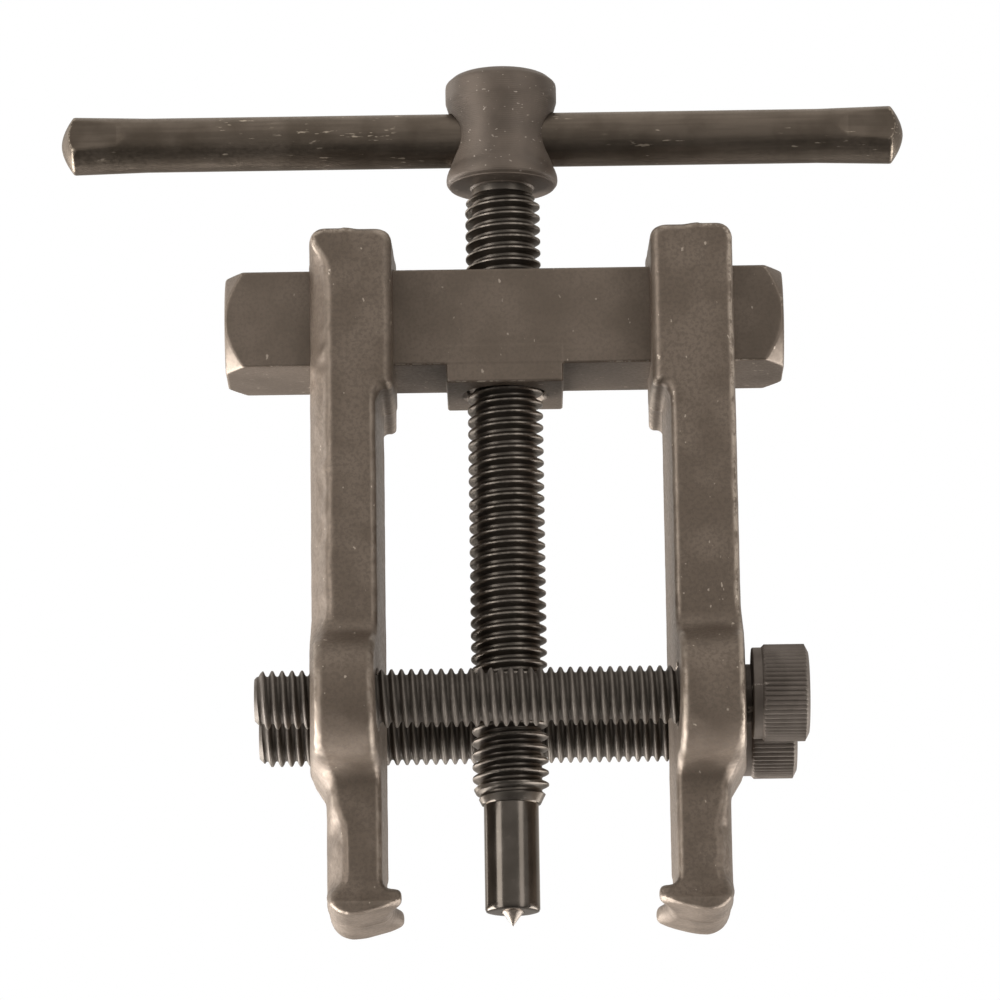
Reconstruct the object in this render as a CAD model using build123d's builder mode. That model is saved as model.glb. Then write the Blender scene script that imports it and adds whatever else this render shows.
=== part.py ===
"""Two-jaw gear puller: crossbar, forcing screw with tommy bar, two hooked arms, two clamp screws.

Frame: millimetres, +Z up along the forcing screw, +X along the crossbar, +Y to the rear.
The origin is the centre of the pilot's end face, at the bottom of the forcing screw.
"""
from build123d import *
from math import cos, radians, sin
import os

os.makedirs("parts", exist_ok=True)

# Crossbar
BAR_LENGTH = 57.6
BAR_DEPTH = 12.0
BAR_HEIGHT = 10.2
BAR_BOTTOM = 55.95
BAR_END_RADIUS = 5.9          # radius of the flat left by the turned end chamfers
BAR_CONE_LENGTH = 3.0
BAR_EDGE = 0.25
BOSS_WIDTH = 12.0
BOSS_HEIGHT = 1.9
BORE_CLEARANCE = 0.07
BORE_CHAMFER = 0.5

# Forcing screw, M8 x 1.25
SCREW_MAJOR = 7.8
SCREW_ROOT = 6.4
SCREW_PITCH = 1.25
CREST_HEIGHT = 0.595          # height at which the helix crosses the +X side, modulo the pitch
PILOT_RADIUS = 2.8
PILOT_LENGTH = 11.0
PILOT_CHAMFER = 0.3
THREAD_TOP = 75.2
HUB_BOTTOM = 76.4
HUB_TOP = 88.3
HUB_RADIUS = 5.8
HUB_WAIST_RADIUS = 5.08
HUB_WAIST_HEIGHT = 81.3
HUB_RIM_TOP = 78.55           # the bottom rim ends here, in an edge
HUB_RIM_TOP_RADIUS = 5.36
HUB_RIM_MIDDLE = 77.1
HUB_HEAD_BOTTOM = 85.65       # above this the hub is a plain cylinder
HUB_TOP_CHAMFER = 0.9
HUB_BOTTOM_CHAMFER = 0.7

# Hardened centre in the end of the pilot
POINT_RADIUS = 1.1
POINT_HEIGHT = 1.45
POINT_SHANK = 3.0
POINT_CLEARANCE = 0.02

# Tommy bar
TOMMY_RADIUS = 2.83
TOMMY_END_RADIUS = 3.03       # the ends are swaged wider than the hole, so the bar can't fall out
TOMMY_HEIGHT = 81.65
TOMMY_LEFT = -46.0
TOMMY_RIGHT = 42.0
TOMMY_TAPER = 9.0
TOMMY_DOME = 1.3
TOMMY_APEX_RADIUS = 0.7
DOME_SHOULDER_RADIUS = 1.7
DOME_SHOULDER_DEPTH = 0.35
TOMMY_CLEARANCE = 0.07
FLAT_LENGTH = 5.2
FLAT_DEPTH = 0.55
FLAT_TILT = 12.0             # the flats face the front and this many degrees upwards

# Arms, drawn from the middle of the pair outwards
PAIR_CENTRE = 1.8
ARM_TOP = 70.0
HEAD_INNER = 13.0
HEAD_DEPTH = 21.0
LIP_BOTTOM = 52.25
SHANK_INNER = 14.4
SHANK_OUTER = 22.0
SHANK_END = 29.5              # the outer face swells between these heights to form the eye
EYE_TOP = 26.5
EYE_OUTER = 22.25
EYE_RADIUS = 6.5
EYE_LOW = 14.3                # and narrows again between these
LEG_TOP = 11.6
LEG_OUTER = 20.6
LEG_DEPTH = 14.8
FOOT_DEPTH = 17.2
FOOT_BOTTOM = -1.4
FOOT_CHAMFER = 0.4
SOLE_INNER = 17.0             # inwards from here the sole rises to the claw
FLARE_TOP = 3.4
FLARE_BOTTOM = -0.3
CLAW_TIP = 12.45
CLAW_BOTTOM = -0.2
CLAW_TIP_DROP = 0.2           # how far the claw's top falls from its root to its tip
CLAW_TOP = 1.75
CLAW_CORNER = 2.8
CLAW_NOTCH_RADIUS = 14.0
DRAFT_ANGLE = 3.5
WINDOW_CLEARANCE = 0.1
HEAD_CORNER = 1.2
EYE_UPPER_BLEND = 2.0
EYE_LOWER_BLEND = 3.0

# Clamp screws, M6 x 1.0 x 50 socket head
CLAMP_OFFSET = 10.1           # distance of each clamp screw in front of or behind the forcing screw
CLAMP_HEIGHT = 20.25
CLAMP_LENGTH = 50.0
CLAMP_MAJOR = 5.9
CLAMP_ROOT = 4.75
CLAMP_PITCH = 1.0
CLAMP_HOLE = 6.4
CLAMP_TAPPED = 6.0
HEAD_RADIUS = 4.9
COLLAR_RADIUS = 4.6
HEAD_HEIGHT = 5.7
COLLAR_HEIGHT = 0.95
COLLAR_CHAMFER = 0.1
PLAIN_LENGTH = 2.2            # unthreaded length below the head
HEAD_CHAMFER_RADIUS = 0.8
HEAD_CHAMFER_HEIGHT = 0.45
KNURL_TEETH = 60
KNURL_DEPTH = 0.16
SOCKET_ACROSS_FLATS = 5.0
SOCKET_DEPTH = 3.2
FRONT_BEARING_X = 24.35
REAR_BEARING_X = 23.98

EDGE_BREAK = 0.25             # small chamfer on turned ends
OVERLAP = 1.0                 # how far cutting shapes run past what they cut


def save(part, name):
    """Label a finished piece and write it as a STEP file of the same name."""
    part.label = name
    export_step(part, f"parts/{name}.step")


def thread_ridge(major, root, pitch, start, length):
    """Right-hand helical ridge around +Z that crosses the +X side at height start."""
    sunk = 0.15
    foot_half = 0.46 * pitch
    crest_half = 0.07 * pitch
    with BuildPart() as ridge:
        with BuildLine() as helix:
            Helix(pitch=pitch, height=length, radius=root / 2, center=(0, 0, start))
        frame = Plane(origin=helix.line @ 0, x_dir=(1, 0, 0), z_dir=helix.line % 0)
        with BuildSketch(frame):
            with BuildLine():
                Polyline(
                    (-sunk, -foot_half),
                    ((major - root) / 2, -crest_half),
                    ((major - root) / 2, crest_half),
                    (-sunk, foot_half),
                    close=True,
                )
            make_face()
        sweep(path=helix.line, is_frenet=True)
    return ridge.part


# Crossbar: a square bar with both ends turned to a 45 degree cone, and a shallow boss
# below the middle that gives the forcing screw its full length of thread.
bar_middle = BAR_BOTTOM + BAR_HEIGHT / 2
with BuildPart() as crossbar:
    with Locations((0, 0, bar_middle)):
        Box(BAR_LENGTH, BAR_DEPTH, BAR_HEIGHT)
    with BuildSketch(Plane.XZ):
        with BuildLine():
            Polyline(
                (-BAR_LENGTH / 2, bar_middle),
                (-BAR_LENGTH / 2, bar_middle + BAR_END_RADIUS),
                (-BAR_LENGTH / 2 + BAR_CONE_LENGTH, bar_middle + BAR_END_RADIUS + BAR_CONE_LENGTH),
                (BAR_LENGTH / 2 - BAR_CONE_LENGTH, bar_middle + BAR_END_RADIUS + BAR_CONE_LENGTH),
                (BAR_LENGTH / 2, bar_middle + BAR_END_RADIUS),
                (BAR_LENGTH / 2, bar_middle),
                close=True,
            )
        make_face()
    revolve(axis=Axis((0, 0, bar_middle), (1, 0, 0)), mode=Mode.INTERSECT)
    chamfer(crossbar.edges().filter_by(Axis.X), BAR_EDGE)
    with BuildSketch(Plane.XY.offset(BAR_BOTTOM - BOSS_HEIGHT)):
        Rectangle(BOSS_WIDTH, BAR_DEPTH)
    extrude(amount=BOSS_HEIGHT + OVERLAP)
    with BuildSketch(Plane.XY.offset(BAR_BOTTOM - BOSS_HEIGHT)):
        Circle(SCREW_MAJOR / 2 + BORE_CLEARANCE)
    extrude(amount=BAR_HEIGHT + BOSS_HEIGHT, mode=Mode.SUBTRACT)
    rims = crossbar.edges().filter_by(GeomType.CIRCLE)
    chamfer([rims.sort_by(Axis.Z)[0], rims.sort_by(Axis.Z)[-1]], BORE_CHAMFER)
save(crossbar.part, "crossbar")

# Forcing screw: pilot, right-hand thread and waisted hub turned from one bar.
crest = SCREW_MAJOR / 2
root = SCREW_ROOT / 2
thread_start = PILOT_LENGTH - 1.25 * SCREW_PITCH
thread_start += (CREST_HEIGHT - thread_start) % SCREW_PITCH
with BuildPart() as spindle:
    with BuildSketch(Plane.XZ):
        with BuildLine():
            Polyline(
                (0, HUB_TOP),
                (0, 0),
                (PILOT_RADIUS - PILOT_CHAMFER, 0),
                (PILOT_RADIUS, PILOT_CHAMFER),
                (PILOT_RADIUS, PILOT_LENGTH),
                (root, PILOT_LENGTH + root - PILOT_RADIUS),
                (root, HUB_BOTTOM),
                (HUB_RADIUS - HUB_BOTTOM_CHAMFER, HUB_BOTTOM),
                (HUB_RADIUS, HUB_RIM_MIDDLE),
                (HUB_RIM_TOP_RADIUS, HUB_RIM_TOP),
            )
            ThreePointArc(
                (HUB_RIM_TOP_RADIUS, HUB_RIM_TOP),
                (HUB_WAIST_RADIUS, HUB_WAIST_HEIGHT),
                (HUB_RADIUS, HUB_HEAD_BOTTOM),
            )
            Polyline(
                (HUB_RADIUS, HUB_HEAD_BOTTOM),
                (HUB_RADIUS, HUB_TOP - HUB_TOP_CHAMFER),
                (HUB_RADIUS - HUB_TOP_CHAMFER, HUB_TOP),
                (0, HUB_TOP),
            )
        make_face()
    revolve(axis=Axis.Z)
    thread_length = THREAD_TOP - thread_start
    add(thread_ridge(SCREW_MAJOR, SCREW_ROOT, SCREW_PITCH, thread_start, thread_length))
    # Both ends of the thread are trimmed by a 45 degree cone.
    trim = crest + EDGE_BREAK
    with BuildSketch(Plane.XZ):
        with BuildLine():
            Polyline(
                (PILOT_RADIUS, thread_start - SCREW_PITCH),
                (PILOT_RADIUS, PILOT_LENGTH),
                (trim, PILOT_LENGTH + trim - PILOT_RADIUS),
                (trim, thread_start - SCREW_PITCH),
                close=True,
            )
        make_face()
        with BuildLine():
            Polyline(
                (root, HUB_BOTTOM),
                (root, THREAD_TOP + EDGE_BREAK),
                (trim, THREAD_TOP + EDGE_BREAK + root - trim),
                (trim, HUB_BOTTOM),
                close=True,
            )
        make_face()
    revolve(axis=Axis.Z, mode=Mode.SUBTRACT)
    with BuildSketch(Plane.YZ.offset(-HUB_RADIUS - OVERLAP)):
        with Locations((0, TOMMY_HEIGHT)):
            Circle(TOMMY_RADIUS + TOMMY_CLEARANCE)
    extrude(amount=2 * (HUB_RADIUS + OVERLAP), mode=Mode.SUBTRACT)
    with BuildSketch(Plane.XY):
        Circle(POINT_RADIUS + POINT_CLEARANCE)
    extrude(amount=POINT_SHANK + POINT_CLEARANCE, mode=Mode.SUBTRACT)
save(spindle.part, "spindle")

# Centre point: a hardened pin with a sharp cone, free to turn in the end of the pilot.
with BuildPart() as centre_point:
    with BuildSketch(Plane.XZ):
        with BuildLine():
            Polyline(
                (0, POINT_SHANK),
                (0, -POINT_HEIGHT),
                (POINT_RADIUS, 0),
                (POINT_RADIUS, POINT_SHANK - EDGE_BREAK),
                (POINT_RADIUS - EDGE_BREAK, POINT_SHANK),
                close=True,
            )
        make_face()
    revolve(axis=Axis.Z)
save(centre_point.part, "centre_point")

# Tommy bar: a round bar with each end upset wider, domed, and flattened on one side.
with BuildPart() as tommy_bar:
    with BuildSketch(Plane.XZ):
        with BuildLine():
            Polyline(
                (TOMMY_LEFT, TOMMY_HEIGHT),
                (TOMMY_LEFT, TOMMY_HEIGHT + TOMMY_APEX_RADIUS),
                (TOMMY_LEFT + DOME_SHOULDER_DEPTH, TOMMY_HEIGHT + DOME_SHOULDER_RADIUS),
                (TOMMY_LEFT + TOMMY_DOME, TOMMY_HEIGHT + TOMMY_END_RADIUS),
                (TOMMY_LEFT + TOMMY_TAPER, TOMMY_HEIGHT + TOMMY_RADIUS),
                (TOMMY_RIGHT - TOMMY_TAPER, TOMMY_HEIGHT + TOMMY_RADIUS),
                (TOMMY_RIGHT - TOMMY_DOME, TOMMY_HEIGHT + TOMMY_END_RADIUS),
                (TOMMY_RIGHT - DOME_SHOULDER_DEPTH, TOMMY_HEIGHT + DOME_SHOULDER_RADIUS),
                (TOMMY_RIGHT, TOMMY_HEIGHT + TOMMY_APEX_RADIUS),
                (TOMMY_RIGHT, TOMMY_HEIGHT),
                close=True,
            )
        make_face()
    revolve(axis=Axis((0, 0, TOMMY_HEIGHT), (1, 0, 0)))
    for end, inward in ((TOMMY_LEFT, 1), (TOMMY_RIGHT, -1)):
        flat_plane = Plane(
            origin=(end, 0, TOMMY_HEIGHT),
            x_dir=(inward, 0, 0),
            z_dir=(0, -cos(radians(FLAT_TILT)), sin(radians(FLAT_TILT))),
        )
        flat_middle = TOMMY_DOME / 2 + FLAT_LENGTH / 2
        with BuildSketch(flat_plane.offset(TOMMY_END_RADIUS - FLAT_DEPTH)):
            with Locations((flat_middle, 0)):
                Rectangle(FLAT_LENGTH + TOMMY_DOME, 3 * TOMMY_RADIUS)
        extrude(amount=FLAT_DEPTH + OVERLAP, mode=Mode.SUBTRACT)
save(tommy_bar.part, "tommy_bar")

# Arm forging, drawn for the right side: the outline seen from the front tapers by the draft
# angle from the parting plane at Y = 0, and is trimmed to the profile seen from the side.
half_foot = FOOT_DEPTH / 2
with BuildPart() as forging:
    with BuildSketch(Plane.XZ):
        with BuildLine():
            FilletPolyline(
                (HEAD_INNER, LIP_BOTTOM),
                (HEAD_INNER, ARM_TOP),
                (SHANK_OUTER, ARM_TOP),
                (SHANK_OUTER, SHANK_END),
                (EYE_OUTER, EYE_TOP),
                (EYE_OUTER, EYE_LOW),
                (LEG_OUTER, LEG_TOP),
                (LEG_OUTER, FOOT_BOTTOM),
                (SOLE_INNER, FOOT_BOTTOM),
                (CLAW_TIP, CLAW_BOTTOM),
                (CLAW_TIP, CLAW_TOP - CLAW_TIP_DROP),
                (SHANK_INNER, CLAW_TOP),
                (SHANK_INNER, LIP_BOTTOM),
                radius=[0.8, 2.0, 2.0, 5, 5, 2, 2.5, 2.5, 6, 0.75, 0.9, 0.5, 0.35],
                close=True,
            )
        make_face()
    extrude(amount=EYE_RADIUS + CLAMP_OFFSET + OVERLAP)
    side_faces = forging.faces().filter_by(lambda face: abs(face.normal_at().Y) < 0.1)
    draft(side_faces, Plane.XZ, DRAFT_ANGLE)
    mirror(about=Plane.XZ)
    with BuildSketch(Plane.YZ) as side:
        with Locations((0, (ARM_TOP + CLAMP_HEIGHT) / 2)):
            Rectangle(HEAD_DEPTH, ARM_TOP - CLAMP_HEIGHT)
        with Locations((0, (CLAMP_HEIGHT + FOOT_BOTTOM) / 2)):
            Rectangle(LEG_DEPTH, CLAMP_HEIGHT - FOOT_BOTTOM)
        with Locations((-CLAMP_OFFSET, CLAMP_HEIGHT), (CLAMP_OFFSET, CLAMP_HEIGHT)):
            Circle(EYE_RADIUS)
        fillet(side.vertices().group_by(Axis.Y)[-1], HEAD_CORNER)
        above = side.vertices().filter_by_position(Axis.Y, CLAMP_HEIGHT, CLAMP_HEIGHT + 2 * EYE_RADIUS)
        fillet(above, EYE_UPPER_BLEND)
        below = side.vertices().filter_by_position(Axis.Y, CLAMP_HEIGHT - EYE_RADIUS, CLAMP_HEIGHT)
        fillet(below, EYE_LOWER_BLEND)
        for edge_side in (-1, 1):
            with BuildLine():
                foot_flare = TangentArc(
                    (edge_side * LEG_DEPTH / 2, FLARE_TOP),
                    (edge_side * half_foot, FLARE_BOTTOM),
                    tangent=(0, -1),
                )
                Polyline(
                    foot_flare @ 1,
                    (edge_side * half_foot, FOOT_BOTTOM + FOOT_CHAMFER),
                    (edge_side * (half_foot - FOOT_CHAMFER), FOOT_BOTTOM),
                    (0, FOOT_BOTTOM),
                    (0, FLARE_TOP),
                    foot_flare @ 0,
                )
            make_face()
    extrude(amount=2 * EYE_OUTER, mode=Mode.INTERSECT)
    # The claw: a hollow between two prongs that grips round work, and rounded outer corners.
    with BuildSketch(Plane.XY.offset(FOOT_BOTTOM - OVERLAP)):
        Circle(CLAW_NOTCH_RADIUS)
        for corner_side in (-1, 1):
            with Locations((CLAW_TIP, corner_side * half_foot)):
                Rectangle(2 * CLAW_CORNER, 2 * CLAW_CORNER)
            with Locations((CLAW_TIP + CLAW_CORNER, corner_side * (half_foot - CLAW_CORNER))):
                Circle(CLAW_CORNER, mode=Mode.SUBTRACT)
    extrude(amount=CLAW_TOP - FOOT_BOTTOM + 2 * OVERLAP, mode=Mode.SUBTRACT)
    # The window that the crossbar slides through.
    with BuildSketch(Plane.YZ):
        with Locations((0, bar_middle)):
            Rectangle(BAR_DEPTH + 2 * WINDOW_CLEARANCE, BAR_HEIGHT + 2 * WINDOW_CLEARANCE)
    extrude(amount=2 * EYE_OUTER, mode=Mode.SUBTRACT)

# Both arms are the same forging, one turned half a turn about the middle of the pair.
# The clamp screws pass freely through the right arm and are tapped into the left one.
hole_points = [(-CLAMP_OFFSET, CLAMP_HEIGHT), (CLAMP_OFFSET, CLAMP_HEIGHT)]
with BuildPart() as right_arm:
    with Locations((PAIR_CENTRE, 0, 0)):
        add(forging.part)
    with BuildSketch(Plane.YZ):
        with Locations(*hole_points):
            Circle(CLAMP_HOLE / 2)
    extrude(amount=PAIR_CENTRE + 2 * EYE_OUTER, mode=Mode.SUBTRACT)
save(right_arm.part, "right_arm")

with BuildPart() as left_arm:
    with Locations(Location((PAIR_CENTRE, 0, 0), (0, 0, 180))):
        add(forging.part)
    with BuildSketch(Plane.YZ):
        with Locations(*hole_points):
            Circle(CLAMP_TAPPED / 2)
    extrude(amount=-2 * EYE_OUTER, mode=Mode.SUBTRACT)
save(left_arm.part, "left_arm")

# Clamp screw, drawn standing on its tip: thread, neck, plain collar, knurled head and hex socket.
bearing = CLAMP_LENGTH
screw_crest = CLAMP_MAJOR / 2
screw_root = CLAMP_ROOT / 2
with BuildPart() as clamp_screw:
    with BuildSketch(Plane.XZ):
        with BuildLine():
            Polyline(
                (0, 0),
                (screw_root - EDGE_BREAK, 0),
                (screw_root, EDGE_BREAK),
                (screw_root, bearing - PLAIN_LENGTH),
                (screw_crest, bearing - PLAIN_LENGTH + screw_crest - screw_root),
                (screw_crest, bearing),
                (COLLAR_RADIUS - COLLAR_CHAMFER, bearing),
                (COLLAR_RADIUS, bearing + COLLAR_CHAMFER),
                (COLLAR_RADIUS, bearing + COLLAR_HEIGHT + OVERLAP),
                (0, bearing + COLLAR_HEIGHT + OVERLAP),
                close=True,
            )
        make_face()
    revolve(axis=Axis.Z)
    ridge_length = bearing - PLAIN_LENGTH + CLAMP_PITCH
    add(thread_ridge(CLAMP_MAJOR, CLAMP_ROOT, CLAMP_PITCH, -CLAMP_PITCH / 2, ridge_length))
    with BuildSketch(Plane.XZ):
        with BuildLine():
            Polyline(
                (0, -2 * CLAMP_PITCH),
                (0, 0),
                (screw_root - EDGE_BREAK, 0),
                (screw_crest + EDGE_BREAK, screw_crest - screw_root + 2 * EDGE_BREAK),
                (screw_crest + EDGE_BREAK, -2 * CLAMP_PITCH),
                close=True,
            )
        make_face()
    revolve(axis=Axis.Z, mode=Mode.SUBTRACT)
    with BuildSketch(Plane.XY.offset(bearing + COLLAR_HEIGHT)):
        with BuildLine():
            Polyline(
                *[
                    Vector(HEAD_RADIUS - KNURL_DEPTH * (step % 2), 0).rotate(
                        Axis.Z, 180 * step / KNURL_TEETH
                    )
                    for step in range(2 * KNURL_TEETH)
                ],
                close=True,
            )
        make_face()
    extrude(amount=HEAD_HEIGHT - COLLAR_HEIGHT)
    with BuildSketch(Plane.XZ):
        with BuildLine():
            Polyline(
                (HEAD_RADIUS - HEAD_CHAMFER_RADIUS, bearing + HEAD_HEIGHT),
                (HEAD_RADIUS, bearing + HEAD_HEIGHT - HEAD_CHAMFER_HEIGHT),
                (HEAD_RADIUS + OVERLAP, bearing + HEAD_HEIGHT - HEAD_CHAMFER_HEIGHT),
                (HEAD_RADIUS + OVERLAP, bearing + HEAD_HEIGHT + OVERLAP),
                (HEAD_RADIUS - HEAD_CHAMFER_RADIUS, bearing + HEAD_HEIGHT + OVERLAP),
                close=True,
            )
        make_face()
        with BuildLine():
            Polyline(
                (COLLAR_RADIUS, bearing + COLLAR_HEIGHT - COLLAR_CHAMFER),
                (COLLAR_RADIUS, bearing + COLLAR_HEIGHT),
                (HEAD_RADIUS, bearing + COLLAR_HEIGHT + HEAD_RADIUS - COLLAR_RADIUS),
                (HEAD_RADIUS + OVERLAP, bearing + COLLAR_HEIGHT + HEAD_RADIUS - COLLAR_RADIUS),
                (HEAD_RADIUS + OVERLAP, bearing + COLLAR_HEIGHT - COLLAR_CHAMFER),
                close=True,
            )
        make_face()
    revolve(axis=Axis.Z, mode=Mode.SUBTRACT)
    with BuildSketch(Plane.XY.offset(bearing + HEAD_HEIGHT)):
        RegularPolygon(SOCKET_ACROSS_FLATS / 2, 6, major_radius=False)
    extrude(amount=-SOCKET_DEPTH, mode=Mode.SUBTRACT)

for screw_name, bearing_x, screw_y in (
    ("front_bolt", FRONT_BEARING_X, -CLAMP_OFFSET),
    ("rear_bolt", REAR_BEARING_X, CLAMP_OFFSET),
):
    tip = Plane(origin=(bearing_x - CLAMP_LENGTH, screw_y, CLAMP_HEIGHT), z_dir=(1, 0, 0))
    save(clamp_screw.part.moved(tip.location), screw_name)
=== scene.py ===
"""Looks of a two-jaw gear puller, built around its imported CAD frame.

Shapes are drawn in millimetres in the row frame (+Z up the forcing screw, +X along the crossbar,
+Y to the rear) and are turned into metres when their meshes are made.
"""
import itertools
import math

import bmesh
import bpy
import numpy as np
from mathutils import Matrix, Vector


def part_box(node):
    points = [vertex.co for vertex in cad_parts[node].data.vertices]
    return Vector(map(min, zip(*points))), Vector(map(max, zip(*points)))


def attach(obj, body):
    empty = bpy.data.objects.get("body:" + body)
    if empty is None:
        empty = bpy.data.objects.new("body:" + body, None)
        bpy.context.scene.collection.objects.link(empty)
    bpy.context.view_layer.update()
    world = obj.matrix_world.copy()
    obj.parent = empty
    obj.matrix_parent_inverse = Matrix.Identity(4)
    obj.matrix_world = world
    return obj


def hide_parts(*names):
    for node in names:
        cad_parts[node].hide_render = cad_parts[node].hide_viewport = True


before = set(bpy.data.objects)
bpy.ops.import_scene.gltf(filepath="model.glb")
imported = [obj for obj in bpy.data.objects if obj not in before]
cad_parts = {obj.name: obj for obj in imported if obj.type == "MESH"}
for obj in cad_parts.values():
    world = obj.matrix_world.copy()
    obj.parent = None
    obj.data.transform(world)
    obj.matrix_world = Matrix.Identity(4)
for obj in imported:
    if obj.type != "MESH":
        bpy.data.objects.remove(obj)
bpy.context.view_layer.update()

MM, MICRON = 0.001, 0.000001


def cad_extent(node, axis):
    """Lowest and highest place of a CAD node along one axis, in millimetres."""
    low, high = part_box(node)
    return low[axis] / MM, high[axis] / MM


# Crossbar
BAR_BOTTOM, BAR_HEIGHT = 55.95, 10.2
BAR_MIDDLE = BAR_BOTTOM + BAR_HEIGHT / 2
BAR_HALF_LENGTH, BAR_HALF_DEPTH = 28.8, 6.0
BAR_END_RADIUS = 5.9
BOSS_HALF_WIDTH, BOSS_HEIGHT = 6.0, 1.9
BOSS_REACH = 2.0                             # half the boss's full height, with the part in the bar
BORE_RADIUS = 3.97

# Forcing screw, M8 x 1.25
SCREW_CREST, SCREW_ROOT, SCREW_PITCH, SCREW_PHASE = 3.9, 3.2, 1.25, 0.595
PILOT_RADIUS, PILOT_LENGTH = 2.8, 11.0
THREAD_END, NECK_RADIUS = 75.5, 3.15
HUB_BOTTOM, HUB_TOP, HUB_RADIUS = 76.4, 88.3, 5.8
HUB_WAIST, HUB_WAIST_HEIGHT = 5.08, 81.3
POINT_RADIUS, POINT_HEIGHT, POINT_SHANK = 1.1, 1.45, 3.0

# Tommy bar
TOMMY_HEIGHT, TOMMY_RADIUS, TOMMY_END_RADIUS = 81.65, 2.83, 3.03
TOMMY_LEFT, TOMMY_RIGHT, TOMMY_TAPER, TOMMY_DOME = -46.0, 42.0, 9.0, 1.3
FLAT_TILT, FLAT_DEPTH, FLAT_SLOPE = 12.0, 2.425, 0.0345
RAMP_DEPTH, RAMP_START, RAMP_SLOPE = 2.627, 5.85, 0.211

# Arms, measured outwards from the middle of the pair
PAIR_CENTRE = 1.8
ARM_TOP, LIP_BOTTOM, FOOT_BOTTOM = 70.0, 52.25, -1.4
SHANK_HALF_DEPTH, LEG_HALF_DEPTH, FOOT_HALF_DEPTH = 10.5, 7.4, 8.6
SHANK_BOTTOM, LEG_TOP = 16, 23
EYE_RADIUS, CLAMP_OFFSET, CLAMP_HEIGHT = 6.5, 10.1, 20.25
TAPPED_RADIUS, CLEARANCE_RADIUS = 3.0, 3.2
FLARE_TOP, FLARE_BOTTOM = 2.4, -0.1
CLAW_TIP, CLAW_CORNER, CLAW_NOTCH_RADIUS, CLAW_HEIGHT = 12.45, 2.8, 14.0, 3.0
WINDOW_GAP = 0.1
DRAFT = math.tan(math.radians(3.5))

# How much of the draft the arms' outer sides, heads and feet go without
OUTER_LESS_DRAFT, HEAD_LESS_DRAFT, FOOT_LESS_DRAFT = 0.5, 0.6, 0.85
OUTER_FROM, OUTER_TO = 16.5, 18.5
LINE_HEIGHT, LINE_WIDTH = 0.05, 0.3          # raised line where the two dies met

# Rounding of the arms' edges
INNER_EDGE, HEAD_EXTRA_EDGE, OUTER_EDGE, SOLE_EDGE = 0.75, 0.4, 0.4, 0.5
FACET_EDGE, CLAW_EDGE, HOLE_EDGE = 0.6, 0.95, 0.3

# Worn facet along the arms' outer edges: all the way up on one side, up to the eyes on the other
FACET_ACROSS, FACET_DEEP = 0.88, 0.47        # the facet's slope, as a unit vector
TALL_FACET, SHORT_FACET, FACET_UNEVEN = 1.6, 1.1, 0.25
FACET_LESS_AT_EYES = 0.6

# Heights between which a feature of the arms comes in, from where it is absent to where it is full
FOOT_ZONE, SOLE_ZONE, LIP_ZONE = (2.5, 0.5), (1.2, 0.2), (LIP_BOTTOM - 1.2, LIP_BOTTOM)
EYE_ZONE_TOP, EYE_ZONE_BOTTOM = (29, 25), (7, 11)
FACET_ZONE_TOP, FACET_ZONE_BOTTOM, SHORT_FACET_ZONE = (69, 65), (-1, 3), (16.5, 13)
CALM_ZONE = (67, 69)

# Clamp screws, M6 x 1.0 x 50
CLAMP_LENGTH, CLAMP_CREST, CLAMP_ROOT, CLAMP_PITCH, CLAMP_PHASE = 50.0, 2.95, 2.375, 1.0, 0.5
HEAD_RADIUS, HEAD_HEIGHT, COLLAR_RADIUS, COLLAR_HEIGHT = 4.9, 5.7, 4.6, 0.95
THREAD_GAP = 1.8                             # plain length between the thread and the head
KNURL_COLUMNS = 240
SOCKET_HALF_FLATS = 2.5


# ---------------------------------------------------------------- meshes

def new_object(name, points, faces):
    """A smooth-shaded mesh object from points in millimetres."""
    mesh = bpy.data.meshes.new(name)
    mesh.from_pydata((np.asarray(points) * MM).tolist(), [], faces)
    mesh.polygons.foreach_set("use_smooth", [True] * len(mesh.polygons))
    piece = bpy.data.objects.new(name, mesh)
    bpy.context.scene.collection.objects.link(piece)
    return piece


def weld(piece, sharp_angle=30):
    """Merges doubled points, faces everything outwards and marks the sharp edges."""
    work = bmesh.new()
    work.from_mesh(piece.data)
    bmesh.ops.remove_doubles(work, verts=work.verts, dist=2e-7)
    bmesh.ops.dissolve_degenerate(work, edges=work.edges, dist=1e-8)
    bmesh.ops.recalc_face_normals(work, faces=work.faces)
    for edge in work.edges:
        bend = edge.calc_face_angle(0) if len(edge.link_faces) == 2 else math.pi
        edge.smooth = bend < math.radians(sharp_angle)
    work.to_mesh(piece.data)
    work.free()
    return piece


def cut(piece, cutter):
    """Subtracts one mesh object from another and removes the cutter."""
    step = piece.modifiers.new("cut", "BOOLEAN")
    step.operation = "DIFFERENCE"
    step.solver = "EXACT"
    step.object = cutter
    depsgraph = bpy.context.evaluated_depsgraph_get()
    mesh = bpy.data.meshes.new_from_object(piece.evaluated_get(depsgraph))
    piece.modifiers.clear()
    piece.data = mesh
    bpy.data.objects.remove(cutter)
    return piece


# ---------------------------------------------------------------- solids from distance fields

def edged(a, b, radius):
    """Distance to what two solids share, with the outside edge between them rounded."""
    outside = np.hypot(np.maximum(a + radius, 0), np.maximum(b + radius, 0))
    return np.minimum(np.maximum(a, b), -radius) + outside


def filleted(a, b, radius):
    """Distance to two solids together, with a fillet in the corner between them."""
    return -edged(-a, -b, radius)


def blend(low, high, value):
    """0 below low, 1 above high and a smooth step between."""
    share = np.clip((value - low) / (high - low), 0, 1)
    return share * share * (3 - 2 * share)


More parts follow.
